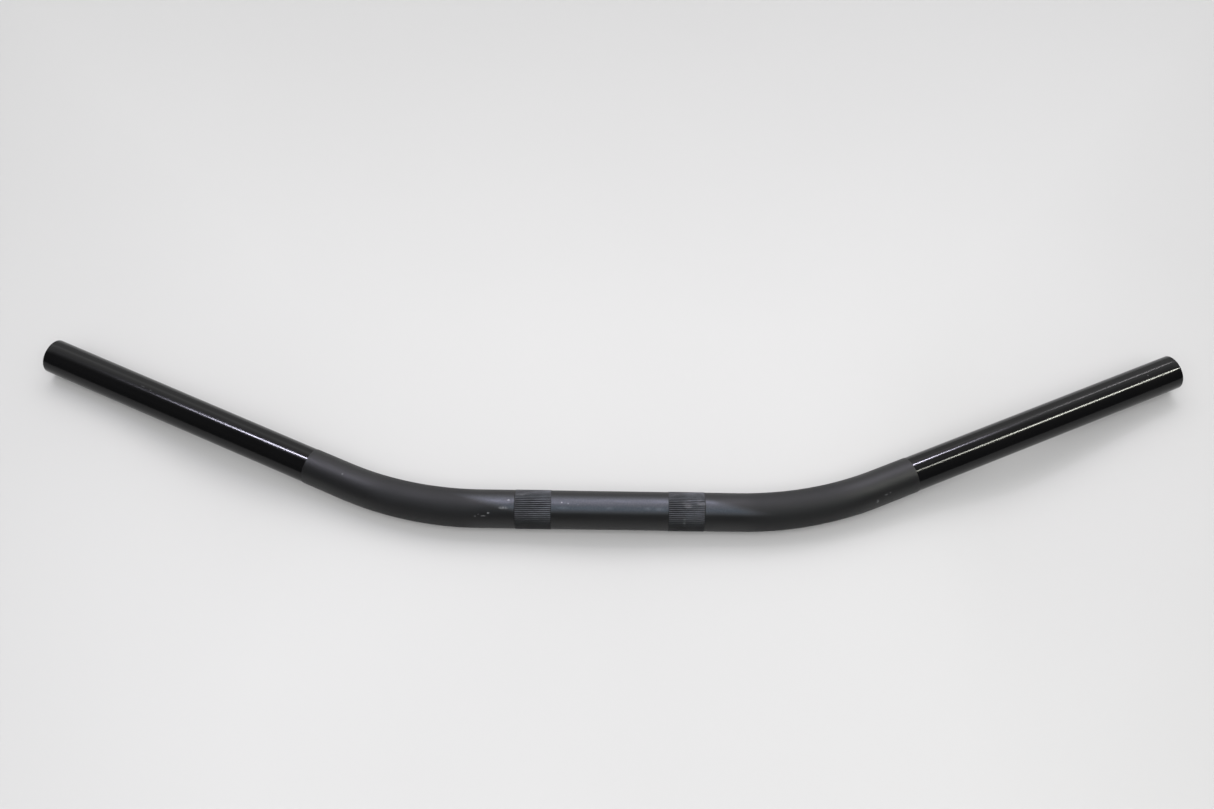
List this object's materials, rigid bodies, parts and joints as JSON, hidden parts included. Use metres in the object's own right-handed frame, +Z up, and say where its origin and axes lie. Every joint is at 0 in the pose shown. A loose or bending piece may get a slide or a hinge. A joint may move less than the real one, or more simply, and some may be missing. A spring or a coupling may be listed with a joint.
{
  "type": "motorcycle handlebar",
  "caption": "Flat one-bend-per-side tubular handlebar with two knurled clamp bands, textured black centre, gloss black grip sections and damped inner end weights.",
  "frame": {"origin": "middle of the clamp section, on the tube's centreline", "axes": "X across the bar, +Y the way both ends sweep (towards the rider), +Z up, square to the plane of the bends; left is -X and right is +X, as seen from the front with the ends pointing away"},
  "size_m": [0.7374, 0.1312, 0.0238],
  "materials": {
    "bar_paint": "satin textured black coat over the centre and bends, gloss black on the grip sections",
    "weight_steel": "turned, zinc plated",
    "damper_rubber": "moulded",
    "spring_steel": "bright spring steel"
  },
  "bodies": {
    "root": {"bar_tube": "bar_paint", "inner_weight_left": "weight_steel", "inner_weight_right": "weight_steel", "damper_outer_left": "damper_rubber", "damper_inner_left": "damper_rubber", "damper_outer_right": "damper_rubber", "damper_inner_right": "damper_rubber", "retainer_left": "spring_steel", "retainer_right": "spring_steel"}
  },
  "joints": []
}
